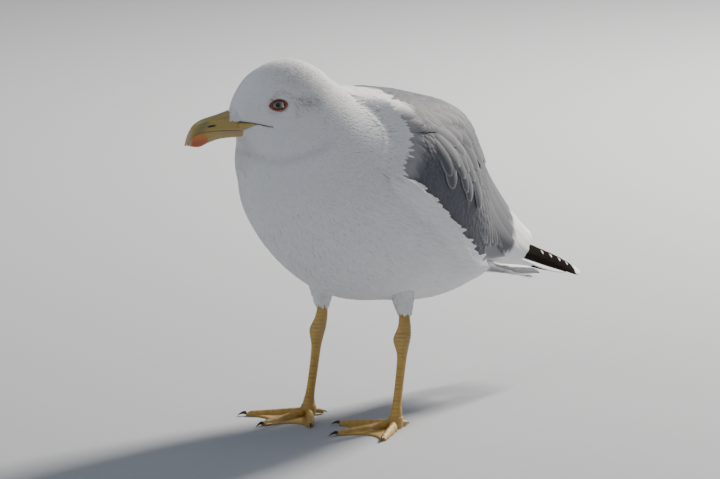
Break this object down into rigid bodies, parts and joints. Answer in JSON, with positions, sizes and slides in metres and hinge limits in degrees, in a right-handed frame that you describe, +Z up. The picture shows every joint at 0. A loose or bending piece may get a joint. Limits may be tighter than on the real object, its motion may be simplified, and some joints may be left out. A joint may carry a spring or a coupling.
{
  "type": "standing gull",
  "caption": "Life-size standing yellow-legged gull, head turned a little to its right, wings folded, bill closed, resting on two webbed feet.",
  "frame": {"origin": "centre of the bounding box's base, on the ground", "axes": "+Z up; -Y is the way the body faces, so +Y runs back to the wing tips; +X is the bird's left"},
  "size_m": [0.165, 0.473, 0.3016],
  "materials": {
    "white_plumage": "soft matt white feathers",
    "grey_plumage": "blue-grey feathers with a slight silk sheen",
    "black_plumage": "black flight feathers with white tips",
    "bill": "satin horn, yellow with a red spot",
    "eye": "wet gloss, pale yellow iris",
    "leg_skin": "scaly satin skin, ochre yellow",
    "claw": "dark horn"
  },
  "bodies": {
    "root": {"head": "white_plumage", "neck": "white_plumage", "trunk": "white_plumage", "tail": "white_plumage", "upper_bill": "bill", "lower_bill": "bill", "left_wing": "grey_plumage", "left_primaries": "black_plumage", "left_eye": "eye", "left_thigh": "white_plumage", "left_leg": "leg_skin", "left_foot": "leg_skin", "left_outer_claw": "claw", "left_middle_claw": "claw", "left_inner_claw": "claw", "left_hind_claw": "claw", "right_wing": "grey_plumage", "right_primaries": "black_plumage", "right_eye": "eye", "right_thigh": "white_plumage", "right_leg": "leg_skin", "right_foot": "leg_skin", "right_outer_claw": "claw", "right_middle_claw": "claw", "right_inner_claw": "claw", "right_hind_claw": "claw"}
  },
  "joints": []
}
